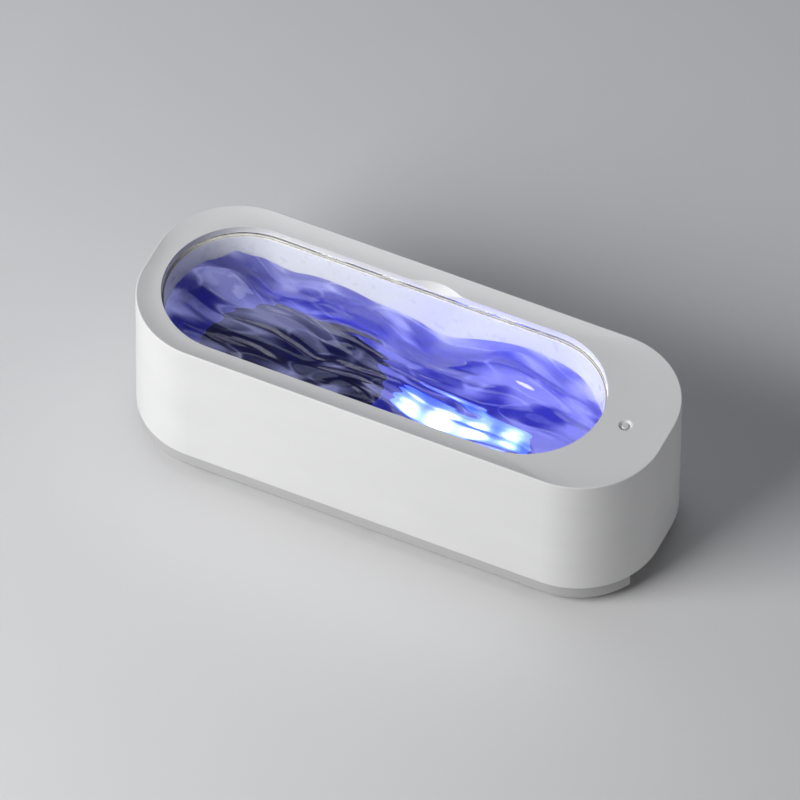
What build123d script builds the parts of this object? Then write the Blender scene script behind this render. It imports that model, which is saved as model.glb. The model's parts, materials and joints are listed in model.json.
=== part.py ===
"""Bench-top ultrasonic cleaner: a long white tub with a clear lift-off lid, one push button and a blue-lit tank.

The origin is the centre of the footprint on the table. +X runs along the tub towards the button, +Y to the back
and +Z up. All sizes are in millimetres.
"""

import math
import os

from build123d import *

# Overall shape
length = 205.0
width = 76.0
height = 66.0
corner_radius = 31.8
wall = 2.4
foot_height = 2.5
housing_bottom = 9.8
edge_round = 0.5

# Opening, its dished rim and the recess that holds the lid
opening_length = 171.5
opening_width = 60.4
opening_radius = 29.9
opening_x = -9.6
rim_lip = 0.55
dish_drop = 1.6
dish_power = 1.8
dish_steps = 4
recess_depth = 4.5
ledge = 0.9
seat_width = 4.7
notch_x = -2.3
notch_half_width = 12.3
notch_depth = 2.3
notch_blend_radius = 11.0

# Tank
gasket_height = 0.8
gasket_outset = 1.3
flange_height = 2.0
tank_wall = 2.0
tank_draft = 1.0
floor_top = 26.0
floor_height = 2.4
floor_fillet = 6.0
window_x = 21.0
window_length = 56.0
window_width = 14.0
window_lip = 1.2
plate_x = -46.0
plate_length = 70.0
plate_width = 43.0
plate_height = 0.8
plate_seal_height = 0.3
plate_margin = 3.0

# Lid
lid_clearance = 0.25
lid_plate = 2.0

# Base
base_inset = 0.8
base_round = 2.4
base_floor = 1.6
base_gap = 0.3
base_wall = 1.5
upstand_height = 2.8
upstand_clearance = 0.25
recess_x = 90.0
recess_half_width = 20.5
recess_wall = 2.0
recess_roof = 1.6
recess_corner = 2.0

# Button and its switch
button_x = 85.8
button_radius = 1.35
button_bore_radius = 1.6
button_dimple_radius = 2.6
button_dimple_depth = 0.85
button_sink = 0.3
button_travel = 0.5

# Fasteners: head radius, head height, shank radius, shank length
BASE_SCREW = (2.4, 1.9, 1.25, 11.0)
TANK_SCREW = (1.7, 1.2, 0.8, 5.2)
SMALL_SCREW = (1.7, 1.2, 0.8, 4.6)
pilot_gap = 0.06
post_radius = 3.2
base_screw_y = 33.0
base_screw_x = (-64.0, 0.0, 64.0)

# Heights worked out from the sizes above
opening_top = height - dish_drop
ledge_top = opening_top - recess_depth
tank_top = ledge_top - gasket_height
flange_bottom = tank_top - flange_height
ceiling = opening_top - wall + 0.2
floor_bottom = floor_top - floor_height
base_top = housing_bottom - base_gap
base_floor_top = foot_height + base_floor
opening_right = opening_x + opening_length / 2
dish_run = length / 2 - rim_lip - opening_right
button_deck = opening_top + dish_drop * ((button_x - opening_right) / dish_run) ** dish_power

# Places of the repeated fasteners and feet
base_screw_places = [(x, side * base_screw_y) for x in base_screw_x for side in (-1, 1)]
tank_screw_outset = 2.95
tank_screw_y = opening_width / 2 + tank_screw_outset
tank_screw_end_y = 12.0
tank_end_run = math.sqrt((opening_radius + tank_screw_outset) ** 2 - tank_screw_end_y**2)
tank_screw_end = opening_length / 2 - opening_radius + tank_end_run
tank_screw_places = [(opening_x + x, side * tank_screw_y) for x in (-52.0, 0.0, 52.0) for side in (-1, 1)]
tank_screw_places += [
    (opening_x + end * tank_screw_end, side * tank_screw_end_y) for end in (-1, 1) for side in (-1, 1)
]
foot_places = [(x, y) for x in (-76.0, 76.0) for y in (-22.0, 22.0)]
foot_radius = 6.0
foot_recess = 0.8
led_offsets = (-19.5, -6.5, 6.5, 19.5)
led_screw_places = [(window_x - 28.0, 0.0), (window_x + 28.0, 0.0)]

# Circuit boards
driver_x = 35.0
driver_length = 90.0
driver_width = 46.0
driver_bottom = 7.6
driver_thickness = 1.6
driver_top = driver_bottom + driver_thickness
driver_screw_places = [(driver_x + sx * 41.0, sy * 19.0) for sx in (-1, 1) for sy in (-1, 1)]
power_x = 77.4
power_length = 20.6
power_width = 22.0
power_bottom = 4.5
power_thickness = 1.0
port_middle = 6.2
port_length = 7.4
port_width = 8.9
port_height = 3.2
switch_board_x = 90.2
switch_board_length = 14.8
switch_board_width = 22.0
switch_board_top = 53.4
switch_board_thickness = 1.6
switch_screw_places = [(93.8, -7.5), (93.8, 7.5)]
lead_radius = 0.65


def housing_outline(inset):
    """Draws the housing's plan outline, moved inwards by inset."""
    RectangleRounded(length - 2 * inset, width - 2 * inset, corner_radius - inset)


def opening_outline(inset):
    """Draws the opening's plan outline, moved inwards by inset, or outwards if it is negative."""
    with Locations((opening_x, 0)):
        RectangleRounded(
            opening_length - 2 * inset,
            opening_width - 2 * inset,
            opening_radius - inset,
        )


def dish_outline(share):
    """Draws the dish's plan outline: the opening's at share 0, and the housing's inside its lip at share 1."""
    rim = (length - 2 * rim_lip, width - 2 * rim_lip, corner_radius - rim_lip)
    opening = (opening_length, opening_width, opening_radius)
    sides = [low + (high - low) * share for low, high in zip(opening, rim)]
    with Locations((opening_x * (1 - share), 0)):
        RectangleRounded(*sides)


def tank_outline(inset):
    """Draws the tank's plan outline, the same as the opening's but with half-round ends."""
    with Locations((opening_x, 0)):
        SlotOverall(opening_length - 2 * inset, opening_width - 2 * inset)


def pan_screw(head_radius, head_height, shank_radius, shank_length):
    """Returns a pan-head screw with its head below Z = 0, its shank above, and a cross recess."""
    with BuildPart() as screw:
        with BuildSketch(Plane.XY.offset(-head_height)):
            Circle(head_radius)
        extrude(amount=head_height)
        fillet(screw.edges().group_by(Axis.Z)[0], head_height * 0.45)
        with BuildSketch(Plane.XY):
            Circle(shank_radius)
        extrude(amount=shank_length)
        chamfer(screw.edges().group_by(Axis.Z)[-1], shank_radius * 0.4)
        with BuildSketch(Plane.XY.offset(-head_height)):
            Rectangle(head_radius * 1.15, head_radius * 0.26)
            Rectangle(head_radius * 0.26, head_radius * 1.15)
        extrude(amount=head_height * 0.6, mode=Mode.SUBTRACT)
    return screw.part


def wire(points, bend):
    """Returns one insulated wire along points, with every corner rounded to bend."""
    with BuildPart() as run:
        with BuildLine() as path:
            FilletPolyline(*points, radius=bend)
        with BuildSketch(Plane(origin=path.line @ 0, z_dir=path.line % 0)):
            Circle(lead_radius)
        sweep(path=path.line)
    return run.part


def finish(builder, label):
    """Labels a finished piece and writes it to its own file."""
    builder.part.label = label
    export_step(builder.part, f"parts/{label}.step")


os.makedirs("parts", exist_ok=True)

# ---------------------------------------------------------------- housing
with BuildPart() as outer_housing:
    with BuildSketch(Plane.XY.offset(housing_bottom)):
        housing_outline(0)
    extrude(amount=height - housing_bottom)
    fillet(outer_housing.edges().group_by(Axis.Z)[-1], edge_round)
    fillet(outer_housing.edges().group_by(Axis.Z)[0], 0.5)
    # The top is a shallow dish: it falls from the rim in a curve that is level at the edge of the opening.
    for step in range(dish_steps + 1):
        share = step / dish_steps
        with BuildSketch(Plane.XY.offset(opening_top + dish_drop * share**dish_power)):
            dish_outline(share)
    loft(mode=Mode.SUBTRACT)
    # Hollow inside, open at the bottom.
    with BuildSketch(Plane.XY.offset(housing_bottom)):
        housing_outline(wall)
    extrude(amount=ceiling - housing_bottom, mode=Mode.SUBTRACT)
    # Thick seat around the opening, which the tank is screwed to.
    with BuildSketch(Plane.XY.offset(ledge_top)):
        opening_outline(-seat_width)
    extrude(amount=ceiling - ledge_top)
    with BuildSketch(Plane.XY.offset(ledge_top)):
        opening_outline(0)
    extrude(amount=height - ledge_top, mode=Mode.SUBTRACT)
    # Thumb notch in the back edge: its outline slides inwards as it goes down, so it fades into the recess wall.
    notch_above = dish_drop
    notch_angle = math.degrees(2 * math.atan(notch_depth / notch_half_width))
    notch_radius = notch_half_width / math.sin(math.radians(notch_angle)) - notch_blend_radius
    notch_edge = opening_width / 2 + notch_above
    with BuildSketch(Plane.XY.offset(opening_top + notch_above)):
        with BuildLine():
            rise = JernArc((notch_x - notch_half_width, notch_edge), (1, 0), notch_blend_radius, notch_angle)
            crown = JernArc(rise @ 1, rise % 1, notch_radius, -2 * notch_angle)
            fall = JernArc(crown @ 1, crown % 1, notch_blend_radius, notch_angle)
            Polyline(
                fall @ 1,
                (notch_x + notch_half_width, notch_edge - 2),
                (notch_x - notch_half_width, notch_edge - 2),
                rise @ 0,
            )
        make_face()
    notch_run = (notch_above + notch_depth + 0.4) * math.sqrt(2)
    extrude(amount=notch_run, dir=(0, -1, -1), mode=Mode.SUBTRACT)
    # Button hole: a conical dimple above a guide bore.
    with BuildSketch(Plane.XY.offset(ledge_top)):
        with Locations((button_x, 0)):
            Circle(button_bore_radius)
    extrude(amount=height - ledge_top, mode=Mode.SUBTRACT)
    dimple_slope = (button_dimple_radius - button_bore_radius) / button_dimple_depth
    for rise, radius in (
        (-button_dimple_depth, button_bore_radius),
        (dish_drop, button_dimple_radius + dimple_slope * dish_drop),
    ):
        with BuildSketch(Plane.XY.offset(button_deck + rise)):
            with Locations((button_x, 0)):
                Circle(radius)
    loft(ruled=True, mode=Mode.SUBTRACT)
    # Pilot holes for the tank's screws.
    with BuildSketch(Plane.XY.offset(ledge_top)):
        with Locations(*tank_screw_places):
            Circle(TANK_SCREW[2] + pilot_gap)
    extrude(amount=TANK_SCREW[3] - flange_height - gasket_height + 0.3, mode=Mode.SUBTRACT)
    # Posts that the base is screwed to, joined to the side walls.
    with BuildSketch(Plane.XY.offset(housing_bottom)):
        with Locations(*base_screw_places):
            Circle(post_radius)
    extrude(amount=floor_bottom - housing_bottom - 1.6)
    with BuildSketch(Plane.XY.offset(housing_bottom)):
        with Locations(*base_screw_places):
            Circle(BASE_SCREW[2] + pilot_gap)
    extrude(amount=BASE_SCREW[3] - 3.0, mode=Mode.SUBTRACT)
    # Posts that hang from the deck and carry the switch board.
    with BuildSketch(Plane.XY.offset(switch_board_top)):
        with Locations(*switch_screw_places):
            Circle(2.6)
    extrude(amount=ceiling - switch_board_top)
    with BuildSketch(Plane.XY.offset(switch_board_top)):
        with Locations(*switch_screw_places):
            Circle(SMALL_SCREW[2] + pilot_gap)
    extrude(amount=SMALL_SCREW[3], mode=Mode.SUBTRACT)
finish(outer_housing, "outer_housing")

# ---------------------------------------------------------------- tank
with BuildPart() as tank_space:
    with BuildSketch(Plane.XY.offset(tank_top)):
        tank_outline(ledge)
    extrude(amount=-(tank_top - floor_top), taper=tank_draft)
    fillet(tank_space.edges().group_by(Axis.Z)[0], floor_fillet)

with BuildPart() as tank:
    with BuildSketch(Plane.XY.offset(tank_top)):
        tank_outline(ledge - tank_wall)
    extrude(amount=-(tank_top - floor_bottom), taper=tank_draft)
    fillet(tank.edges().group_by(Axis.Z)[0], floor_fillet + tank_wall)
    with BuildSketch(Plane.XY.offset(flange_bottom)):
        opening_outline(-seat_width)
    extrude(amount=flange_height)
    add(tank_space.part, mode=Mode.SUBTRACT)
    # Screw holes in the flange.
    with BuildSketch(Plane.XY.offset(flange_bottom)):
        with Locations(*tank_screw_places):
            Circle(TANK_SCREW[2] + 0.3)
    extrude(amount=flange_height, mode=Mode.SUBTRACT)
    # Stepped opening for the vibrating plate.
    with BuildSketch(Plane.XY.offset(floor_top - plate_height - plate_seal_height)):
        with Locations((plate_x, 0)):
            SlotOverall(plate_length + 0.4, plate_width + 0.4)
    extrude(amount=plate_height + plate_seal_height, mode=Mode.SUBTRACT)
    with BuildSketch(Plane.XY.offset(floor_bottom)):
        with Locations((plate_x, 0)):
            SlotOverall(plate_length - 2 * plate_margin, plate_width - 2 * plate_margin)
    extrude(amount=floor_height, mode=Mode.SUBTRACT)
    # Stepped opening for the light window.
    with BuildSketch(Plane.XY.offset(floor_top - window_lip)):
        with Locations((window_x, 0)):
            SlotOverall(window_length + 0.2, window_width + 0.2)
    extrude(amount=window_lip, mode=Mode.SUBTRACT)
    with BuildSketch(Plane.XY.offset(floor_bottom)):
        with Locations((window_x, 0)):
            SlotOverall(window_length - 6.0, window_width - 6.0)
    extrude(amount=floor_height, mode=Mode.SUBTRACT)
    # Bosses under the floor that carry the light board.
    with BuildSketch(Plane.XY.offset(floor_bottom)):
        with Locations(*led_screw_places):
            Circle(2.3)
    extrude(amount=-1.9)
    with BuildSketch(Plane.XY.offset(floor_bottom - 1.9)):
        with Locations(*led_screw_places):
            Circle(SMALL_SCREW[2] + pilot_gap)
    extrude(amount=1.9 + 1.0, mode=Mode.SUBTRACT)
finish(tank, "tank")

with BuildPart() as tank_gasket:
    with BuildSketch(Plane.XY.offset(tank_top)):
        opening_outline(-gasket_outset)
        with Locations((opening_x, 0)):
            SlotOverall(opening_length - 2 * ledge, opening_width - 2 * ledge, mode=Mode.SUBTRACT)
    extrude(amount=gasket_height)
finish(tank_gasket, "tank_gasket")

tank_screw = pan_screw(*TANK_SCREW)
with BuildPart() as tank_screws:
    with Locations(*[(x, y, flange_bottom) for x, y in tank_screw_places]):
        add(tank_screw)
finish(tank_screws, "tank_screws")

# ---------------------------------------------------------------- vibrating plate and its drive
with BuildPart() as plate_seal:
    with BuildSketch(Plane.XY.offset(floor_top - plate_height - plate_seal_height)):
        with Locations((plate_x, 0)):
            SlotOverall(plate_length, plate_width)
            SlotOverall(plate_length - 2 * plate_margin, plate_width - 2 * plate_margin, mode=Mode.SUBTRACT)
    extrude(amount=plate_seal_height)
finish(plate_seal, "plate_seal")

with BuildPart() as floor_plate:
    with BuildSketch(Plane.XY.offset(floor_top - plate_height)):
        with Locations((plate_x, 0)):
            SlotOverall(plate_length, plate_width)
    extrude(amount=plate_height)
    fillet(floor_plate.edges().group_by(Axis.Z)[-1], 0.25)
finish(floor_plate, "floor_plate")

plate_bottom = floor_top - plate_height
glue_height = 0.2
piezo_radius = 17.0
piezo_height = 3.0
piezo_top = plate_bottom - glue_height
piezo_bottom = piezo_top - piezo_height
with BuildPart() as piezo_adhesive:
    with BuildSketch(Plane.XY.offset(piezo_top)):
        with Locations((plate_x, 0)):
            Circle(piezo_radius - 0.5)
    extrude(amount=glue_height)
finish(piezo_adhesive, "piezo_adhesive")

with BuildPart() as piezo_disc:
    with BuildSketch(Plane.XY.offset(piezo_bottom)):
        with Locations((plate_x, 0)):
            Circle(piezo_radius)
    extrude(amount=piezo_height)
    chamfer(piezo_disc.edges().group_by(Axis.Z)[0], 0.3)
finish(piezo_disc, "piezo_disc")

tab_places = [(plate_x + 8.0, -5.0), (plate_x + 8.0, 5.0)]
tab_height = 0.8
with BuildPart() as solder_tabs:
    with BuildSketch(Plane.XY.offset(piezo_bottom - tab_height)):
        with Locations(*tab_places):
            Circle(1.6)
    extrude(amount=tab_height)
    fillet(solder_tabs.edges().group_by(Axis.Z)[0], 0.35)
finish(solder_tabs, "solder_tabs")

# ---------------------------------------------------------------- light
with BuildPart() as led_window:
    with BuildSketch(Plane.XY.offset(floor_top - window_lip)):
        with Locations((window_x, 0)):
            SlotOverall(window_length, window_width)
    extrude(amount=window_lip)
    fillet(led_window.edges().group_by(Axis.Z)[-1], 0.3)
    with BuildSketch(Plane.XY.offset(floor_bottom)):
        with Locations((window_x, 0)):
            SlotOverall(window_length - 6.2, window_width - 6.2)
    extrude(amount=floor_height - window_lip)
finish(led_window, "led_window")

led_board_top = floor_bottom - 1.9
led_board_thickness = 1.0
with BuildPart() as led_board:
    with BuildSketch(Plane.XY.offset(led_board_top - led_board_thickness)):
        with Locations((window_x, 0)):
            RectangleRounded(window_length + 7.0, 12.0, 1.5)
        with Locations(*led_screw_places):
            Circle(SMALL_SCREW[2] + 0.3, mode=Mode.SUBTRACT)
    extrude(amount=led_board_thickness)
finish(led_board, "led_board")

with BuildPart() as leds:
    with BuildSketch(Plane.XY.offset(led_board_top)):
        with Locations(*[(window_x + x, 0) for x in led_offsets]):
            RectangleRounded(5.0, 5.0, 0.4)
    extrude(amount=1.1)
    with BuildSketch(Plane.XY.offset(led_board_top + 1.1)):
        with Locations(*[(window_x + x, 0) for x in led_offsets]):
            Circle(2.0)
    extrude(amount=0.4)
finish(leds, "leds")

small_screw = pan_screw(*SMALL_SCREW)
led_screw = pan_screw(SMALL_SCREW[0], SMALL_SCREW[1], SMALL_SCREW[2], led_board_thickness + 2.6)
with BuildPart() as led_screws:
    with Locations(*[(x, y, led_board_top - led_board_thickness) for x, y in led_screw_places]):
        add(led_screw)
finish(led_screws, "led_screws")

# ---------------------------------------------------------------- lid
with BuildPart() as lid:
    # A flat plate, with its edge in reach of a fingertip at the thumb notch.
    with BuildSketch(Plane.XY.offset(ledge_top)):
        opening_outline(lid_clearance)
    extrude(amount=lid_plate)
    fillet(lid.edges().group_by(Axis.Z)[-1], 0.2)
    chamfer(lid.edges().group_by(Axis.Z)[0], 0.15)
finish(lid, "lid")

# ---------------------------------------------------------------- button and switch
button_top = button_deck - button_sink
collar_top = ceiling - 1.1
collar_height = 0.9
plunger_top = collar_top - collar_height - 1.0
with BuildPart() as power_button:
    with BuildSketch(Plane.XY.offset(collar_top - collar_height)):
        with Locations((button_x, 0)):
            Circle(3.4)
    extrude(amount=collar_height)
    with BuildSketch(Plane.XY.offset(collar_top)):
        with Locations((button_x, 0)):
            Circle(button_radius)
    extrude(amount=button_top - collar_top)
    fillet(power_button.edges().group_by(Axis.Z)[-1], 0.35)
    with BuildSketch(Plane.XY.offset(plunger_top)):
        with Locations((button_x, 0)):
            Circle(1.1)
    extrude(amount=collar_top - collar_height - plunger_top)
finish(power_button, "power_button")

with BuildPart() as button_seal:
    with BuildSketch(Plane.XY.offset(collar_top + 0.1)):
        with Locations((button_x, 0)):
            Circle(3.6)
            Circle(button_radius + 0.4, mode=Mode.SUBTRACT)
    extrude(amount=ceiling - collar_top - 0.1)
finish(button_seal, "button_seal")

switch_size = 6.0
switch_top = 57.7
switch_well = 1.4
with BuildPart() as switch_plunger:
    with BuildSketch(Plane.XY.offset(switch_top - switch_well + button_travel + 0.2)):
        with Locations((button_x, 0)):
            Circle(1.5)
    extrude(amount=plunger_top - switch_top + switch_well - button_travel - 0.2)
    chamfer(switch_plunger.edges().group_by(Axis.Z)[-1], 0.2)
finish(switch_plunger, "switch_plunger")

with BuildPart() as tact_switch:
    with BuildSketch(Plane.XY.offset(switch_board_top)):
        with Locations((button_x, 0)):
            RectangleRounded(switch_size, switch_size, 0.5)
    extrude(amount=switch_top - switch_board_top)
    with BuildSketch(Plane.XY.offset(switch_top - switch_well)):
        with Locations((button_x, 0)):
            Circle(1.8)
    extrude(amount=switch_well, mode=Mode.SUBTRACT)
finish(tact_switch, "tact_switch")

with BuildPart() as switch_board:
    with BuildSketch(Plane.XY.offset(switch_board_top - switch_board_thickness)):
        with Locations((switch_board_x, 0)):
            RectangleRounded(switch_board_length, switch_board_width, 1.5)
        with Locations(*switch_screw_places):
            Circle(SMALL_SCREW[2] + 0.3, mode=Mode.SUBTRACT)
    extrude(amount=switch_board_thickness)
finish(switch_board, "switch_board")

with BuildPart() as switch_screws:
    with Locations(*[(x, y, switch_board_top - switch_board_thickness) for x, y in switch_screw_places]):
        add(small_screw)
finish(switch_screws, "switch_screws")

# ---------------------------------------------------------------- base
with BuildPart() as base_cover:
    with BuildSketch(Plane.XY.offset(foot_height)):
        housing_outline(base_inset)
    extrude(amount=base_top - foot_height)
    fillet(base_cover.edges().group_by(Axis.Z)[0], base_round)
    # Upstand that centres the base inside the housing, and the hollow inside it.
    upstand_inset = wall + upstand_clearance
    with BuildSketch(Plane.XY.offset(base_top)):
        housing_outline(upstand_inset)
    extrude(amount=upstand_height)
    with BuildSketch(Plane.XY.offset(base_floor_top)):
        housing_outline(upstand_inset + base_wall)
    extrude(amount=base_top + upstand_height - base_floor_top, mode=Mode.SUBTRACT)
    # Walls and roof of the plug recess under the button end.
    recess_reach = length / 2 - upstand_inset - base_wall / 2 - recess_x + recess_wall
    with BuildSketch(Plane.XY.offset(base_floor_top)):
        with Locations((recess_x - recess_wall + recess_reach / 2, 0)):
            Rectangle(recess_reach, 2 * (recess_half_width + recess_wall))
        RectangleRounded(
            length - 2 * upstand_inset - base_wall,
            width - 2 * upstand_inset - base_wall,
            corner_radius - upstand_inset - base_wall / 2,
            mode=Mode.INTERSECT,
        )
    extrude(amount=housing_bottom + recess_roof - base_floor_top)
    with BuildSketch(Plane.XY) as recess_space:
        with Locations((recess_x + length / 4, 0)):
            Rectangle(length / 2, 2 * recess_half_width)
        fillet(recess_space.vertices().group_by(Axis.X)[0], recess_corner)
    extrude(amount=housing_bottom, mode=Mode.SUBTRACT)
    # Room in the upstand for the housing's posts.
    with BuildSketch(Plane.XY.offset(base_top)):
        with Locations(*base_screw_places):
            Circle(post_radius + 0.5)
    extrude(amount=upstand_height, mode=Mode.SUBTRACT)
    # Screw columns.
    with BuildSketch(Plane.XY.offset(base_floor_top)):
        with Locations(*base_screw_places):
            Circle(post_radius + 0.8)
    extrude(amount=base_top - base_floor_top)
    with BuildSketch(Plane.XY.offset(foot_height)):
        with Locations(*base_screw_places):
            Circle(BASE_SCREW[2] + 0.2)
    extrude(amount=base_top - foot_height, mode=Mode.SUBTRACT)
    with BuildSketch(Plane.XY.offset(foot_height)):
        with Locations(*base_screw_places):
            Circle(BASE_SCREW[0] + 0.2)
    extrude(amount=BASE_SCREW[1] + 0.6, mode=Mode.SUBTRACT)
    # Recesses for the feet and a shallow blank panel between them.
    with BuildSketch(Plane.XY.offset(foot_height)):
        with Locations(*foot_places):
            Circle(foot_radius + 0.1)
    extrude(amount=foot_recess, mode=Mode.SUBTRACT)
    with BuildSketch(Plane.XY.offset(foot_height)):
        RectangleRounded(70.0, 34.0, 3.0)
    extrude(amount=0.3, mode=Mode.SUBTRACT)
    # Columns under the driver board.
    with BuildSketch(Plane.XY.offset(base_floor_top)):
        with Locations(*driver_screw_places):
            Circle(3.0)
    extrude(amount=driver_bottom - base_floor_top)
    with BuildSketch(Plane.XY.offset(base_floor_top)):
        with Locations(*driver_screw_places):
            Circle(SMALL_SCREW[2] + pilot_gap)
    extrude(amount=driver_bottom - base_floor_top, mode=Mode.SUBTRACT)
    # Pads under the power board, and the slot for its socket.
    with BuildSketch(Plane.XY.offset(base_floor_top)):
        with Locations(*[(power_x + x, y) for x in (-8.0, 7.0) for y in (-8.5, 8.5)]):
            Rectangle(4.0, 3.0)
    extrude(amount=power_bottom - base_floor_top)
    with BuildSketch(Plane.YZ.offset(recess_x - recess_wall)):
        with Locations((0, port_middle)):
            RectangleRounded(port_width + 0.3, port_height + 0.3, port_height / 2)
    extrude(amount=recess_wall, mode=Mode.SUBTRACT)
finish(base_cover, "base_cover")

with BuildPart() as base_gasket:
    with BuildSketch(Plane.XY.offset(base_top)):
        housing_outline(base_inset + 0.5)
        RectangleRounded(
            length - 2 * wall,
            width - 2 * wall,
            corner_radius - wall,
            mode=Mode.SUBTRACT,
        )
        with Locations((recess_x + length / 4, 0)):
            Rectangle(length / 2, 2 * recess_half_width, mode=Mode.SUBTRACT)
    extrude(amount=base_gap)
finish(base_gasket, "base_gasket")

base_screw = pan_screw(*BASE_SCREW)
with BuildPart() as base_screws:
    with Locations(*[(x, y, foot_height + BASE_SCREW[1] + 0.6) for x, y in base_screw_places]):
        add(base_screw)
finish(base_screws, "base_screws")

with BuildPart() as rubber_feet:
    with BuildSketch(Plane.XY):
        with Locations(*foot_places):
            Circle(foot_radius)
    extrude(amount=foot_height + foot_recess)
    fillet(rubber_feet.edges().group_by(Axis.Z)[0], 0.8)
finish(rubber_feet, "rubber_feet")

# ---------------------------------------------------------------- driver board
with BuildPart() as driver_board:
    with BuildSketch(Plane.XY.offset(driver_bottom)):
        with Locations((driver_x, 0)):
            RectangleRounded(driver_length, driver_width, 2.0)
        with Locations(*driver_screw_places):
            Circle(SMALL_SCREW[2] + 0.3, mode=Mode.SUBTRACT)
    extrude(amount=driver_thickness)
finish(driver_board, "driver_board")

# These screws point down: the screw is turned over about X.
board_screw = Rot(180, 0, 0) * pan_screw(SMALL_SCREW[0], SMALL_SCREW[1], SMALL_SCREW[2], 4.6)
with BuildPart() as board_screws:
    with Locations(*[(x, y, driver_top) for x, y in driver_screw_places]):
        add(board_screw)
finish(board_screws, "board_screws")

# Transformer: a ferrite core of two outer legs and two yokes around a wound bobbin.
transformer_at = (62.0, 4.0)
core_length = 16.0
core_width = 6.0
core_height = 12.0
with BuildPart() as transformer_core:
    with BuildSketch(Plane.XZ.offset(-transformer_at[1] - core_width / 2)):
        with Locations((transformer_at[0], driver_top + core_height / 2)):
            Rectangle(core_length, core_height)
            Rectangle(core_length - 5.0, core_height - 4.0, mode=Mode.SUBTRACT)
            Rectangle(4.0, core_height)
    extrude(amount=core_width)
finish(transformer_core, "transformer_core")

with BuildPart() as transformer_winding:
    with BuildSketch(Plane.XY.offset(driver_top + 2.3)):
        with Locations(transformer_at):
            RectangleRounded(core_length - 5.6, 13.0, 2.5)
            Rectangle(4.4, core_width + 0.4, mode=Mode.SUBTRACT)
    extrude(amount=core_height - 4.6)
finish(transformer_winding, "transformer_winding")

inductor_at = (36.0, 13.0)
with BuildPart() as output_inductor:
    with BuildSketch(Plane.XY.offset(driver_top)):
        with Locations(inductor_at):
            Circle(5.5)
    extrude(amount=9.0)
    with BuildSketch(Plane.XY.offset(driver_top + 1.5)):
        with Locations(inductor_at):
            Circle(5.5)
            Circle(4.6, mode=Mode.SUBTRACT)
    extrude(amount=6.0, mode=Mode.SUBTRACT)
    chamfer(output_inductor.edges().group_by(Axis.Z)[-1], 0.4)
finish(output_inductor, "output_inductor")

capacitor_places = [(20.0, 14.0), (20.0, 4.0)]
with BuildPart() as bulk_capacitors:
    with BuildSketch(Plane.XY.offset(driver_top)):
        with Locations(*capacitor_places):
            Circle(4.0)
    extrude(amount=11.0)
    fillet(bulk_capacitors.edges().group_by(Axis.Z)[-1], 0.6)
finish(bulk_capacitors, "bulk_capacitors")

with BuildPart() as film_capacitor:
    with BuildSketch(Plane.XY.offset(driver_top)):
        with Locations((36.0, -2.0)):
            RectangleRounded(13.0, 6.0, 0.5)
    extrude(amount=11.0)
    fillet(film_capacitor.edges().group_by(Axis.Z)[-1], 0.5)
finish(film_capacitor, "film_capacitor")

heatsink_at = (44.0, -15.0)
with BuildPart() as heatsink:
    with BuildSketch(Plane.YZ.offset(heatsink_at[0] - 13.0)):
        with BuildLine():
            fin = [
                (heatsink_at[1] - 3.0, driver_top),
                (heatsink_at[1] + 3.0, driver_top),
                (heatsink_at[1] + 3.0, driver_top + 1.6),
                (heatsink_at[1] - 1.4, driver_top + 1.6),
                (heatsink_at[1] - 1.4, driver_top + 12.0),
                (heatsink_at[1] - 3.0, driver_top + 12.0),
            ]
            Polyline(*fin, close=True)
        make_face()
    extrude(amount=26.0)
finish(heatsink, "heatsink")

with BuildPart() as mosfets:
    with BuildSketch(Plane.XZ.offset(-heatsink_at[1] + 1.4 - 1.6)):
        with Locations(*[(heatsink_at[0] + x, driver_top + 6.4) for x in (-6.5, 6.5)]):
            Rectangle(7.0, 8.0)
    extrude(amount=1.5)
finish(mosfets, "mosfets")

with BuildPart() as control_chip:
    with BuildSketch(Plane.XY.offset(driver_top)):
        with Locations((4.0, -4.0)):
            Rectangle(10.0, 4.0)
            with GridLocations(1.27, 5.6, 7, 2):
                Rectangle(0.45, 1.6)
    extrude(amount=0.3)
    with BuildSketch(Plane.XY.offset(driver_top + 0.3)):
        with Locations((4.0, -4.0)):
            Rectangle(10.0, 4.0)
    extrude(amount=1.3)
finish(control_chip, "control_chip")

# Four plug-in headers, one for each pair of wires.
transducer_header = (-5.0, 5.0)
led_header = (2.0, 18.0)
switch_header = (75.5, 12.0)
power_header = (66.0, -8.0)
header_places = [transducer_header, led_header, switch_header, power_header]
header_height = 6.0
with BuildPart() as wire_headers:
    with BuildSketch(Plane.XY.offset(driver_top)):
        with Locations(*header_places):
            Rectangle(5.5, 7.5)
    extrude(amount=header_height)
    fillet(wire_headers.edges().group_by(Axis.Z)[-1], 0.4)
finish(wire_headers, "wire_headers")

# ---------------------------------------------------------------- power board
port_front = recess_x - 0.3
port_back = port_front - port_length
with BuildPart() as power_board:
    with BuildSketch(Plane.XY.offset(power_bottom)):
        with Locations((power_x, 0)):
            RectangleRounded(power_length, power_width, 1.0)
        with Locations((port_back + length / 4, 0)):
            Rectangle(length / 2 + 0.4, port_width + 0.4, mode=Mode.SUBTRACT)
    extrude(amount=power_thickness)
finish(power_board, "power_board")

with BuildPart() as usb_port:
    with BuildSketch(Plane.YZ.offset(port_back)):
        with Locations((0, port_middle)):
            RectangleRounded(port_width, port_height, port_height / 2 - 0.01)
    extrude(amount=port_length)
    with BuildSketch(Plane.YZ.offset(port_back + 1.0)):
        with Locations((0, port_middle)):
            RectangleRounded(port_width - 0.6, port_height - 0.6, port_height / 2 - 0.31)
    extrude(amount=port_length, mode=Mode.SUBTRACT)
finish(usb_port, "usb_port")

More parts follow.
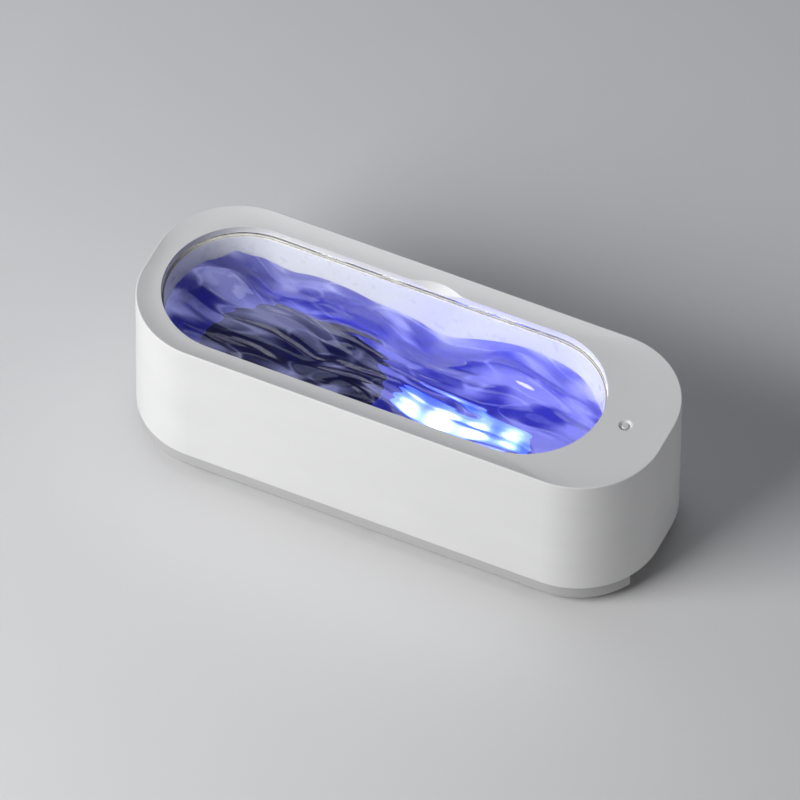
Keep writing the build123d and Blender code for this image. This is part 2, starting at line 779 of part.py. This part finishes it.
with BuildPart() as port_tongue:
    with BuildSketch(Plane.XY.offset(port_middle - 0.35)):
        with Locations((port_back + 1.0 + 2.6, 0)):
            RectangleRounded(5.2, 6.6, 0.4)
    extrude(amount=0.7)
finish(port_tongue, "port_tongue")


# ---------------------------------------------------------------- wires
def header_top(place, side):
    """The point where one of a header's two wires starts."""
    return (place[0], place[1] + side * 1.6, driver_top + header_height)


with BuildPart() as transducer_leads:
    for side in (-1, 1):
        x, y, z = header_top(transducer_header, side)
        tab_x, tab_y = tab_places[(side + 1) // 2]
        tab_z = piezo_bottom - tab_height
        add(wire([(x, y, z), (x, y, z + 3.0), (tab_x, tab_y, z + 3.0), (tab_x, tab_y, tab_z)], 1.4))
finish(transducer_leads, "transducer_leads")

with BuildPart() as led_leads:
    for side in (-1, 1):
        x, y, z = header_top(led_header, side)
        end_x = window_x - 22.0 + side * 2.0
        end_z = led_board_top - led_board_thickness
        middle_z = z + 2.5
        end_y = 4.5
        add(wire([(x, y, z), (x, y, middle_z), (end_x, end_y, middle_z), (end_x, end_y, end_z)], 1.1))
finish(led_leads, "led_leads")

with BuildPart() as switch_leads:
    for side in (-1, 1):
        x, y, z = header_top(switch_header, side)
        far_x = switch_board_x + 3.0
        far_y = side * 1.6
        far_z = switch_board_top - switch_board_thickness
        add(wire([(x, y, z), (x, y, z + 3.0), (far_x, far_y, z + 6.0), (far_x, far_y, far_z)], 2.0))
finish(switch_leads, "switch_leads")

with BuildPart() as power_leads:
    for side in (-1, 1):
        x, y, z = header_top(power_header, side)
        far_x = driver_x + driver_length / 2 + 1.6
        far_y = -8.0 + side * 1.6
        far_z = power_bottom + power_thickness
        add(wire([(x, y, z), (x, y, z + 2.6), (far_x, far_y, z + 2.6), (far_x, far_y, far_z)], 1.3))
finish(power_leads, "power_leads")
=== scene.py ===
"""Looks of the bench-top ultrasonic cleaner: materials, water, lights, floor and camera.

Everything is in metres, but the water's shape is worked out in millimetres.
"""

import json
import math

import bmesh
import bpy
from mathutils import Matrix, Vector, noise


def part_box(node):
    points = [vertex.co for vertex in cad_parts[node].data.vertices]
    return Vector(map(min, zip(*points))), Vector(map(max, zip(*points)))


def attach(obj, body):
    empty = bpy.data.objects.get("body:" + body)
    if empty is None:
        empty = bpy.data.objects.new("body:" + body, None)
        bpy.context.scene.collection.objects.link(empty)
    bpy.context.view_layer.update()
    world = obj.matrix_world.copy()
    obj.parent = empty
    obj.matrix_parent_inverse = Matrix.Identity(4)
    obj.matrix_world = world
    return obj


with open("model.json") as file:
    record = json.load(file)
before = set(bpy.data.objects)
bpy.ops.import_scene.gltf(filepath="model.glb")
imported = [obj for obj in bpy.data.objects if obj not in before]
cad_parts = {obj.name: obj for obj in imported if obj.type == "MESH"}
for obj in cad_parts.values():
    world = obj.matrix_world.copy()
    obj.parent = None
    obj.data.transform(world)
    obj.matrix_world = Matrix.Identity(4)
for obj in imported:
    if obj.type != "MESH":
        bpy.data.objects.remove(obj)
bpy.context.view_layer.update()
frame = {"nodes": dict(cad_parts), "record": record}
MM = 0.001
TUB_MIDDLE = Vector((0, 0, 0.03))


# ---------------------------------------------------------------- camera, lights and floor
def aim(azimuth, elevation):
    """Returns the unit vector from the object towards a place at that azimuth and elevation, in degrees."""
    a, e = math.radians(azimuth), math.radians(elevation)
    return Vector((math.sin(a) * math.cos(e), -math.cos(a) * math.cos(e), math.sin(e)))


def place_camera():
    """Makes the long-lens camera that looks down on the tub from its front right."""
    azimuth, elevation, roll = 24.336, 49.552, math.radians(0.675)
    target = Vector((-1.433, -3.421, 38.6)) * MM
    distance = 5.3433
    back = aim(azimuth, elevation)
    level = Vector((math.cos(math.radians(azimuth)), math.sin(math.radians(azimuth)), 0))
    up = back.cross(level)
    right = level * math.cos(roll) + up * math.sin(roll)
    up = up * math.cos(roll) - level * math.sin(roll)
    data = bpy.data.cameras.new("camera")
    data.sensor_width = 36.0
    data.lens = 665.0
    data.clip_end = 100.0
    camera = bpy.data.objects.new("camera", data)
    turn = Matrix((right, up, back)).transposed().to_4x4()
    camera.matrix_world = Matrix.Translation(target + back * distance) @ turn
    bpy.context.scene.collection.objects.link(camera)
    bpy.context.scene.camera = camera


def softbox(name, azimuth, elevation, distance, size, watts, colour=(1, 1, 1)):
    """Adds a rectangular soft light that faces the middle of the tub."""
    data = bpy.data.lights.new(name, "AREA")
    data.shape = "RECTANGLE"
    data.size, data.size_y = size
    data.energy = watts
    data.color = colour
    light = bpy.data.objects.new(name, data)
    direction = aim(azimuth, elevation)
    light.location = TUB_MIDDLE + direction * distance
    light.rotation_mode = "QUATERNION"
    light.rotation_quaternion = direction.to_track_quat("Z", "Y")
    light.visible_camera = False
    bpy.context.scene.collection.objects.link(light)


def light_studio():
    """A plain studio: a dim grey surround, a wide front-left key and five weaker boxes."""
    world = bpy.data.worlds.new("studio")
    bpy.context.scene.world = world
    world.use_nodes = True
    world.node_tree.nodes["Background"].inputs["Color"].default_value = (0.055, 0.055, 0.057, 1)
    softbox("key_light", -36, 35, 1.1, (0.75, 0.55), 11.2)
    softbox("left_light", -100, 10, 1.1, (0.5, 0.4), 0.3)
    softbox("right_light", 110, 12, 1.1, (0.5, 0.4), 0.9)
    softbox("top_light", 165, 77, 1.0, (0.5, 0.28), 0.65, (0.88, 0.92, 1.0))
    softbox("back_light", 238, 60, 1.0, (0.42, 0.42), 0.45, (0.72, 0.78, 1.0))
    softbox("rear_light", 184, 12, 1.2, (0.8, 0.3), 0.4)
    bpy.context.scene.view_settings.view_transform = "Standard"


def lay_floor():
    """A plain pale floor, which isn't part of the object."""
    half = 12.0
    mesh = bpy.data.meshes.new("floor")
    corners = [(-half, -half, 0), (half, -half, 0), (half, half, 0), (-half, half, 0)]
    mesh.from_pydata(corners, [], [(0, 1, 2, 3)])
    floor = bpy.data.objects.new("floor", mesh)
    bpy.context.scene.collection.objects.link(floor)
    look = Look("pale_floor", (0.78, 0.78, 0.785), 0.6)
    look.rough(look.noise(40.0), 0.55, 0.7)
    mesh.materials.append(look.material)


# ---------------------------------------------------------------- material nodes
class Look:
    """A material around one Principled shader, with short names for the nodes that repeat."""

    def __init__(self, name, colour, roughness, metallic=0.0, **constants):
        self.name = name
        self.material = bpy.data.materials.new(name)
        self.material.use_nodes = True
        self.tree = self.material.node_tree
        self.tree.nodes.clear()
        self.output = self.add("ShaderNodeOutputMaterial")
        self.shader = self.add("ShaderNodeBsdfPrincipled")
        self.join(self.shader.outputs["BSDF"], self.output.inputs["Surface"])
        self.place = self.add("ShaderNodeTexCoord").outputs["Object"]
        self.normal = None
        self.colour = colour
        self.set("Base Color", (*colour, 1))
        self.set("Roughness", roughness)
        self.set("Metallic", metallic)
        for key, value in constants.items():
            self.set(key.replace("_", " "), value)

    def set(self, socket, value):
        self.shader.inputs[socket].default_value = value

    def add(self, kind, **settings):
        node = self.tree.nodes.new(kind)
        for key, value in settings.items():
            setattr(node, key, value)
        return node

    def join(self, source, target):
        """Links a socket, or sets a constant, on an input."""
        if isinstance(source, bpy.types.NodeSocket):
            self.tree.links.new(source, target)
        else:
            target.default_value = source

    def spot(self, stretch=(1, 1, 1)):
        """The object's own position in metres, stretched along each axis."""
        if stretch == (1, 1, 1):
            return self.place
        mapping = self.add("ShaderNodeMapping")
        mapping.inputs["Scale"].default_value = stretch
        self.join(self.place, mapping.inputs["Vector"])
        return mapping.outputs["Vector"]

    def noise(self, scale, detail=3.0, stretch=(1, 1, 1), roughness=0.5):
        node = self.add("ShaderNodeTexNoise")
        self.join(self.spot(stretch), node.inputs["Vector"])
        node.inputs["Scale"].default_value = scale
        node.inputs["Detail"].default_value = detail
        node.inputs["Roughness"].default_value = roughness
        return node.outputs["Fac"]

    def cells(self, scale):
        """Distance from the nearest of many scattered points."""
        node = self.add("ShaderNodeTexVoronoi")
        self.join(self.place, node.inputs["Vector"])
        node.inputs["Scale"].default_value = scale
        return node.outputs["Distance"]

    def bands(self, scale, axis, distortion):
        """Parallel waves along an axis."""
        node = self.add("ShaderNodeTexWave", wave_type="BANDS", bands_direction=axis)
        self.join(self.place, node.inputs["Vector"])
        node.inputs["Scale"].default_value = scale
        node.inputs["Distortion"].default_value = distortion
        return node.outputs["Fac"]

    def math(self, operation, a, b=0.0):
        node = self.add("ShaderNodeMath", operation=operation)
        self.join(a, node.inputs[0])
        self.join(b, node.inputs[1])
        return node.outputs[0]

    def remap(self, value, low, high, source=(0.3, 0.7)):
        """Stretches the source range of a value to low..high, and holds it there beyond the ends."""
        node = self.add("ShaderNodeMapRange")
        self.join(value, node.inputs["Value"])
        for key, number in zip(("From Min", "From Max", "To Min", "To Max"), (*source, low, high)):
            node.inputs[key].default_value = number
        return node.outputs["Result"]

    def blend(self, factor, first, second):
        """Mixes two colours, each an rgb tuple or a socket."""
        node = self.add("ShaderNodeMix", data_type="RGBA")
        self.join(factor, node.inputs["Factor"])
        for value, key in ((first, "A"), (second, "B")):
            socket = next(s for s in node.inputs if s.name == key and s.type == "RGBA")
            self.join((*value, 1) if isinstance(value, tuple) else value, socket)
        return next(s for s in node.outputs if s.type == "RGBA")

    def paint(self, colour):
        self.join(colour, self.shader.inputs["Base Color"])

    def mottle(self, factor, spread, source=(0.3, 0.7)):
        """Varies the base colour by up to spread either way."""
        dark = tuple(c * (1 - spread) for c in self.colour)
        light = tuple(min(1.0, c * (1 + spread)) for c in self.colour)
        self.paint(self.blend(self.remap(factor, 0.0, 1.0, source), dark, light))

    def rough(self, factor, low, high, source=(0.3, 0.7)):
        """Varies the roughness between low and high."""
        self.join(self.remap(factor, low, high, source), self.shader.inputs["Roughness"])

    def raise_by(self, height, millimetres, strength=1.0):
        """Adds a relief of that depth to the surface."""
        node = self.add("ShaderNodeBump")
        node.inputs["Strength"].default_value = strength
        node.inputs["Distance"].default_value = millimetres * MM
        self.join(height, node.inputs["Height"])
        if self.normal is not None:
            self.join(self.normal, node.inputs["Normal"])
        self.normal = node.outputs["Normal"]
        self.join(self.normal, self.shader.inputs["Normal"])

    def let_light_through(self, tint):
        """Shadow rays pass straight through, so lamps reach what lies behind."""
        path = self.add("ShaderNodeLightPath")
        clear = self.add("ShaderNodeBsdfTransparent")
        clear.inputs["Color"].default_value = (*tint, 1)
        mix = self.add("ShaderNodeMixShader")
        self.join(path.outputs["Is Shadow Ray"], mix.inputs["Fac"])
        self.join(self.shader.outputs["BSDF"], mix.inputs[1])
        self.join(clear.outputs["BSDF"], mix.inputs[2])
        self.join(mix.outputs["Shader"], self.output.inputs["Surface"])


# ---------------------------------------------------------------- materials
def moulded(name, colour, roughness=0.4, grain=0.012, mottling=0.015, **constants):
    """Injection-moulded plastic: a fine spark-eroded grain, faint flow marks and slightly uneven gloss."""
    look = Look(name, colour, roughness, **constants)
    look.mottle(look.noise(45.0, 4.0, (0.6, 1.0, 1.6)), mottling)
    look.rough(look.noise(210.0, 5.0), roughness - 0.05, roughness + 0.06)
    look.raise_by(look.noise(5200.0, 2.0), grain, 0.5)
    look.raise_by(look.noise(90.0, 1.0), 0.02, 0.25)
    return look


def metal(name, colour, roughness=0.3, stretch=(1, 14, 14), relief=0.004, tarnish=0.08):
    """Bare metal with fine drawn lines along one axis and patchy tarnish."""
    look = Look(name, colour, roughness, 1.0)
    lines = look.noise(650.0, 3.0, stretch)
    look.mottle(look.noise(160.0, 4.0), tarnish)
    look.rough(lines, roughness - 0.08, roughness + 0.12)
    look.raise_by(lines, relief, 0.6)
    return look


def rubber(name, colour, roughness=0.75):
    """Soft rubber or silicone: matt, finely pitted, with dusty lighter patches."""
    look = Look(name, colour, roughness, Specular_IOR_Level=0.35)
    look.mottle(look.noise(220.0, 5.0), 0.12)
    look.rough(look.noise(480.0), roughness - 0.08, roughness + 0.1)
    look.raise_by(look.noise(2600.0, 3.0), 0.03, 0.6)
    return look


def clear_lid():
    """Clear moulded plastic with hairline scratches and faint smears."""
    look = Look("lid_clear", (0.985, 0.992, 1.0), 0.03, Transmission_Weight=1.0, IOR=1.22)
    smears = look.noise(38.0, 5.0, (1, 2.2, 1))
    look.rough(smears, 0.015, 0.06, (0.45, 0.75))
    look.raise_by(look.noise(900.0, 2.0, (1, 26, 1)), 0.001, 0.2)
    look.let_light_through((0.95, 0.96, 0.97))
    return look


def lit_window(places):
    """Frosted clear plastic with a painted glow: emission, strongest over each light, stands in for the
    light of the lights beneath shining through it.
    """
    look = Look("window_clear", (0.55, 0.74, 1.0), 0.35, Transmission_Weight=0.55, IOR=1.45)
    look.rough(look.noise(700.0, 4.0), 0.28, 0.42)
    look.raise_by(look.noise(2400.0, 2.0), 0.02, 0.5)
    # painted glow: a soft spot of emission round each lamp, standing in for the lamps' light through the
    # window
    painted_glow = 0.0
    spread = 4.4 * MM
    for place, share in zip(places, (0.6, 1.0, 0.95, 0.55)):
        away = look.add("ShaderNodeVectorMath", operation="DISTANCE")
        look.join(look.place, away.inputs[0])
        away.inputs[1].default_value = place
        ratio = look.math("DIVIDE", away.outputs["Value"], spread)
        squared = look.math("MULTIPLY", ratio, ratio)
        fall = look.math("POWER", math.e, look.math("MULTIPLY", squared, -1.0))
        painted_glow = look.math("ADD", look.math("MULTIPLY", fall, share), painted_glow)
    colour = look.blend(look.remap(painted_glow, 0.0, 1.0, (0.0, 0.8)), (0.11, 0.25, 1.0), (0.8, 0.92, 1.0))
    look.join(colour, look.shader.inputs["Emission Color"])
    look.join(look.remap(painted_glow, 1.5, 15.0, (0.0, 1.0)), look.shader.inputs["Emission Strength"])
    look.let_light_through((0.6, 0.75, 1.0))
    return look


def light_source():
    """The lens of a blue surface-mount light, brighter near points scattered over it."""
    look = Look("led_lens", (0.55, 0.7, 1.0), 0.2)
    rings = look.cells(700.0)
    look.join(look.blend(rings, (0.35, 0.65, 1.0), (0.04, 0.16, 1.0)), look.shader.inputs["Emission Color"])
    look.join(look.remap(rings, 30.0, 14.0, (0.0, 0.8)), look.shader.inputs["Emission Strength"])
    look.rough(look.noise(900.0), 0.12, 0.3)
    return look


def water_body():
    """Clean water with painted light: a deep blue base colour and blue absorption stand in for the blue
    lamps below it, and it is painted paler, with a painted glow, where the mesh's painted sheen attribute is
    high.
    """
    look = Look("water", (0.86, 0.88, 1.0), 0.0, Transmission_Weight=1.0, IOR=1.333)
    look.set("Coat Weight", 1.0)
    look.set("Coat IOR", 1.6)
    look.set("Coat Roughness", 0.05)
    # the painted sheen attribute: painted highlights and reflections, worked out for each point in
    # build_water
    painted_sheen = look.add("ShaderNodeAttribute", attribute_name="painted_sheen").outputs["Fac"]
    # painted light: the deep blue stands in for the blue lamps' light, and the pale end is a painted
    # reflection
    look.paint(look.blend(painted_sheen, (0.26, 0.26, 0.86), (0.97, 0.96, 1.0)))
    axes = look.add("ShaderNodeSeparateXYZ")
    look.join(look.place, axes.inputs["Vector"])
    # painted glow: the water itself emits light, bluer on the side of the lamps and strongest where the
    # painted sheen is high
    paint_toward_lights = look.remap(axes.outputs["X"], 0.0, 1.0, (-0.05, 0.02))
    painted_glow = look.blend(paint_toward_lights, (0.38, 0.40, 0.72), (0.46, 0.48, 1.0))
    strength = look.remap(look.math("POWER", painted_sheen, 1.5), 0.0, 0.42, (0.0, 1.0))
    look.join(painted_glow, look.shader.inputs["Emission Color"])
    look.join(strength, look.shader.inputs["Emission Strength"])
    look.rough(look.noise(60.0), 0.0, 0.02)
    look.raise_by(look.noise(300.0, 1.0, (0.4, 1, 1)), 0.05, 0.35)
    look.let_light_through((0.78, 0.80, 1.0))
    # the dense blue absorption is painted light: it stands in for the light of the blue lamps below, which
    # is what makes the clean water look blue
    absorb = look.add("ShaderNodeVolumeAbsorption")
    absorb.inputs["Color"].default_value = (0.11, 0.11, 0.88, 1)
    absorb.inputs["Density"].default_value = 36.0
    look.join(absorb.outputs["Volume"], look.output.inputs["Volume"])
    return look


def circuit_board():
    """Green solder mask over copper tracks, with small tinned pads."""
    look = Look("board_green", (0.012, 0.13, 0.05), 0.32)
    along = look.add("ShaderNodeTexBrick", offset=0.37, offset_frequency=3, squash=0.55, squash_frequency=2)
    look.join(look.place, along.inputs["Vector"])
    along.inputs["Scale"].default_value = 210.0
    along.inputs["Mortar Size"].default_value = 0.045
    along.inputs["Brick Width"].default_value = 1.4
    along.inputs["Row Height"].default_value = 0.42
    tracks = along.outputs["Fac"]
    masked = look.blend(tracks, (0.010, 0.105, 0.040), (0.028, 0.26, 0.10))
    pads = look.remap(look.cells(260.0), 1.0, 0.0, (0.10, 0.13))
    look.paint(look.blend(pads, masked, (0.55, 0.52, 0.45)))
    look.rough(look.noise(900.0), 0.22, 0.4)
    look.raise_by(tracks, 0.035, 0.8)
    return look


def speckled(name, colour, roughness, scale, spread=0.15, relief=0.02, metallic=0.0):
    """Cast, sintered or potted material with a close speckle."""
    look = Look(name, colour, roughness, metallic)
    look.mottle(look.noise(scale, 6.0, roughness=0.65), spread)
    look.rough(look.noise(scale * 0.6, 3.0), roughness - 0.08, roughness + 0.1)
    look.raise_by(look.cells(scale * 1.4), relief, 0.5)
    return look


def wound_copper():
    """Turns of enamelled wire laid side by side round a former."""
    look = Look("copper_winding", (0.62, 0.25, 0.09), 0.28, 1.0)
    turns = look.bands(480.0, "Y", 0.4)
    look.paint(look.blend(turns, (0.20, 0.06, 0.02), (0.75, 0.33, 0.13)))
    look.rough(look.noise(500.0), 0.2, 0.36)
    look.raise_by(turns, 0.18, 0.9)
    return look


def finned_metal():
    """Extruded aluminium with close drawn lines."""
    return metal("sink_aluminium", (0.70, 0.71, 0.72), 0.38, (10, 10, 1), 0.008, 0.06)


def insulation(name, colour):
    """Glossy extruded wire insulation."""
    look = Look(name, colour, 0.34)
    look.mottle(look.noise(300.0, 3.0), 0.1)
    look.rough(look.noise(1500.0), 0.26, 0.42)
    look.raise_by(look.noise(1800.0, 2.0), 0.015, 0.5)
    return look


def steel_plate():
    """The vibrating plate: satin stainless steel, lapped along the tub, with faint pitting; its near-black
    colour is painted shade that stands in for the dark surroundings it reflects.
    """
    look = Look("plate_steel", (0.075, 0.077, 0.092), 0.38, 1.0)
    look.mottle(look.noise(60.0, 2.0), 0.06)
    look.rough(look.noise(420.0, 2.0, (1, 12, 12)), 0.34, 0.44)
    look.raise_by(look.noise(500.0, 1.0, (1, 14, 14)), 0.001, 0.3)
    pits = look.remap(look.cells(900.0), 0.0, 1.0, (0.04, 0.16))
    look.raise_by(pits, 0.002, 0.1)
    return look


def make_looks():
    """One material for each of the record's slots."""
    leds = lights_under_window()
    looks = [
        moulded("housing_shell", (0.80, 0.80, 0.797), 0.42),
        moulded("base_shell", (0.50, 0.50, 0.505), 0.46, 0.016),
        moulded("tank_shell", (0.60, 0.605, 0.63), 0.30, 0.006),
        clear_lid(),
        rubber("seal_grey", (0.70, 0.68, 0.64), 0.6),
        # the base gasket is real; its near-black colour is painted shade, so the seam between base and
        # housing reads as a dark shadow line
        rubber("seal_dark", (0.06, 0.06, 0.06), 0.8),
        rubber("seal_clear", (0.62, 0.63, 0.63), 0.45),
        rubber("foot_rubber", (0.035, 0.035, 0.036)),
        moulded("button_cap", (0.78, 0.78, 0.77), 0.16, 0.002, Coat_Weight=0.6, Coat_Roughness=0.08),
        steel_plate(),
        metal("screw_steel", (0.52, 0.53, 0.55), 0.34, (3, 3, 3)),
        lit_window(leds),
        light_source(),
        circuit_board(),
        speckled("glue_grey", (0.10, 0.10, 0.11), 0.5, 1400.0),
        speckled("piezo_ceramic", (0.62, 0.60, 0.53), 0.42, 2600.0, 0.06, 0.008, 0.65),
        metal("solder", (0.66, 0.67, 0.70), 0.26, (2, 2, 2), 0.02, 0.1),
        speckled("ferrite_core", (0.028, 0.028, 0.032), 0.55, 3000.0, 0.3),
        wound_copper(),
        speckled("part_black", (0.018, 0.018, 0.02), 0.48, 2200.0, 0.25, 0.012),
        moulded("can_sleeve", (0.012, 0.016, 0.05), 0.25, 0.004, 0.1),
        speckled("film_block", (0.48, 0.25, 0.02), 0.3, 900.0, 0.1, 0.03),
        finned_metal(),
        moulded("header_cream", (0.74, 0.70, 0.57), 0.45, 0.01, 0.05),
        metal("port_metal", (0.60, 0.60, 0.62), 0.25, (1, 12, 12)),
        insulation("wire_red", (0.42, 0.012, 0.01)),
        insulation("wire_black", (0.012, 0.012, 0.013)),
        insulation("wire_white", (0.72, 0.72, 0.70)),
        insulation("wire_blue", (0.02, 0.06, 0.38)),
    ]
    return {look.name: look.material for look in looks}


def lights_under_window():
    """The middle of each light's top, spread evenly as four lights over the CAD node's box, on the window's
    top face.
    """
    low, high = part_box("leds")
    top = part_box("led_window")[1].z
    count = 4
    width = high.y - low.y
    run = (high.x - low.x - width) / (count - 1)
    middle = (low.y + high.y) / 2
    return [(low.x + width / 2 + run * i, middle, top) for i in range(count)]


def dress_nodes():
    """Gives every CAD node the material of its slot."""
    looks = make_looks()
    for part in frame["record"]["subparts"]:
        mesh = frame["nodes"][part["node"]].data
        mesh.materials.clear()
        mesh.materials.append(looks[part["material_slot"]])


# ---------------------------------------------------------------- water
# The tank's inside, in mm: half its length and its radius at the top, its draft in degrees, and its floor
TANK_HALF, TANK_RADIUS, TANK_DRAFT = 84.85, 29.3, 1.0
TANK_FLOOR, TANK_FILLET = 26.0, 6.0
# The water's mean level, and how far it reaches into the tank's wall and floor so that no gap shows
WATER_LEVEL, WALL_OVERLAP, FLOOR_OVERLAP = 47.4, 0.22, 0.06

# Slow waves along the back wall: middle along the tub, width and height, in mm
SWELLS = (
    (-80, 11, 4.0),
    (-60, 6, -1.2),
    (-47, 8, 1.2),
    (-27, 8, -1.5),
    (1, 13, -6.2),
    (37, 13, 3.8),
    (70, 9, -4.2),
)
# Broad paler and darker patches of painted sheen: middle and width along the tub, middle and width across
# it, and amount
PAINTED_SHEEN_PATCHES = (
    (64, 13, 0, 60, 0.34),
    (-76, 11, -6, 12, 0.22),
    (-56, 22, 8, 5.5, 0.55),
    (-42, 24, -3, 5, -0.25),
)


def bump(value, middle, width):
    """A smooth hump of height 1."""
    return math.exp(-(((value - middle) / width) ** 2))


def wander(along, across, length, breadth, layer):
    """Smooth noise about 0, with features about that long and broad, in mm. Each layer is different."""
    return noise.noise(Vector((along / length, across / breadth, layer)))


def flow(x, y):
    """The place's position along and across the streaks that the transducer draws, in mm."""
    across = y + 7.0 * wander(x, y, 38, 30, 3.1) + 0.06 * x
    return x + 9.0 * wander(x, y, 26, 19, 8.4), across


def ripple(x, y):
    """Height of the disturbed surface over its mean, in mm, at a place in mm."""
    along, across = flow(x, y)
    folds = wander(along, across, 31, 7.6, 0.0)
    ridges = 1.0 - 2.0 * math.sqrt(wander(along, across, 27, 5.8, 5.7) ** 2 + 0.008)
    fine = wander(along, across, 13, 3.4, 11.3)
    near_back_wall = 0.5 + 0.5 * math.tanh((y - 12) / 9)
    swell = near_back_wall * sum(height * bump(x, middle, width) for middle, width, height in SWELLS)
    left_end = 1.7 * bump(x, -92, 14)
    return swell + left_end + 1.8 * folds + 0.8 * (ridges - 0.5) + 0.2 * fine


def paint_sheen(x, y):
    """How pale the painted sheen makes the water at a place, from 0 to 1: painted highlights on folds tilted
    one way, drifting painted reflection patches and fine painted streaks, paler towards the lamps.
    """
    along, across = flow(x, y)
    tilt = ripple(x, y + 0.35) - ripple(x, y - 0.35)
    drift = wander(along, across, 17, 9, 21.0)
    streak = bump(wander(along, across, 22, 6.5, 33.0), 0.0, 0.055)
    # painted light: paler towards the lamps under the window
    paint_toward_lights = 0.90 + 0.10 * math.tanh((x + 8) / 26)
    pale = (0.30 + 0.95 * tilt + 0.85 * drift + 0.34 * streak) * paint_toward_lights
    for x_middle, x_width, y_middle, y_width, amount in PAINTED_SHEEN_PATCHES:
        pale += amount * bump(x, x_middle, x_width) * bump(y, y_middle, y_width)
    share = max(0.0, min(1.0, (pale - 0.12) / 0.72))
    return share * share * (3 - 2 * share)


def wall_reach(z, tank_top):
    """The radius that the water has at height z, with the tank's draft and the fillet at its floor."""
    reach = TANK_RADIUS - (tank_top - z) * math.tan(math.radians(TANK_DRAFT)) + WALL_OVERLAP
    below_fillet_top = TANK_FLOOR + TANK_FILLET - z
    if below_fillet_top > 0:
        reach -= TANK_FILLET - math.sqrt(max(0.0, TANK_FILLET**2 - below_fillet_top**2))
    return reach


def stadium_steps(straight, arc):
    """The steps round a stadium: place along its run, from -1 to 1, and direction in radians."""
    quarter = math.pi / 2
    steps = [(2 * i / straight - 1, -quarter) for i in range(straight)]
    steps += [(1, -quarter + math.pi * i / arc) for i in range(arc)]
    steps += [(1 - 2 * i / straight, quarter) for i in range(straight)]
    steps += [(-1, quarter + math.pi * i / arc) for i in range(arc)]
    return steps


def water_loops():
    """Loops of points, in mm: from the surface's middle outwards, down the wall, and in along the floor."""
    low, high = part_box("tank")
    middle = (low.x + high.x) / 2 / MM
    tank_top = high.z / MM
    half_run = TANK_HALF - TANK_RADIUS
    steps = stadium_steps(190, 120)
    rings = 76

    def loop(reach, z=None):
        """One loop of that radius, at height z or on the rippled surface."""
        points = []
        for along, angle in steps:
            x = middle + along * half_run + reach * math.cos(angle)
            y = reach * math.sin(angle)
            points.append((x, y, WATER_LEVEL + ripple(x, y) if z is None else z))
        return points

    surface_reach = wall_reach(WATER_LEVEL, tank_top)
    wall_heights = [WATER_LEVEL - 1.6 * step for step in range(4, 9)]
    wall_heights += [TANK_FLOOR + TANK_FILLET * (1 - math.sin(a)) for a in (0.3, 0.6, 0.9, 1.2, 1.4)]
    floor_reach = wall_reach(TANK_FLOOR, tank_top)
    floor = TANK_FLOOR - FLOOR_OVERLAP
    loops = [loop(surface_reach * ring / rings) for ring in range(rings + 1)]
    loops += [loop(wall_reach(z, tank_top), z) for z in wall_heights]
    loops += [loop(floor_reach * share, floor) for share in (1.0, 0.66, 0.33, 0.0)]
    return loops


def build_water():
    """A closed body of water, with a rippled surface, that fills the tank and rides on the root."""
    loops = water_loops()
    count = len(loops[0])
    points = [(x * MM, y * MM, z * MM) for loop in loops for x, y, z in loop]
    faces = []
    for row in range(len(loops) - 1):
        for i in range(count):
            j = (i + 1) % count
            inner, outer = row * count, (row + 1) * count
            faces.append((inner + i, inner + j, outer + j, outer + i))
    mesh = bpy.data.meshes.new("cleaning_water")
    mesh.from_pydata(points, [], faces)
    edit = bmesh.new()
    edit.from_mesh(mesh)
    bmesh.ops.remove_doubles(edit, verts=edit.verts, dist=1e-6)
    bmesh.ops.recalc_face_normals(edit, faces=edit.faces)
    for face in edit.faces:
        face.smooth = True
    edit.to_mesh(mesh)
    edit.free()
    # each point's painted sheen: painted highlights and reflections that the water shader turns paler and
    # glowing
    painted_sheen = mesh.attributes.new("painted_sheen", "FLOAT", "POINT")
    for vertex, value in zip(mesh.vertices, painted_sheen.data):
        value.value = paint_sheen(vertex.co.x / MM, vertex.co.y / MM)
    water = bpy.data.objects.new("cleaning_water", mesh)
    bpy.context.scene.collection.objects.link(water)
    mesh.materials.append(water_body().material)
    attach(water, "root")


place_camera()
light_studio()
lay_floor()
dress_nodes()
build_water()
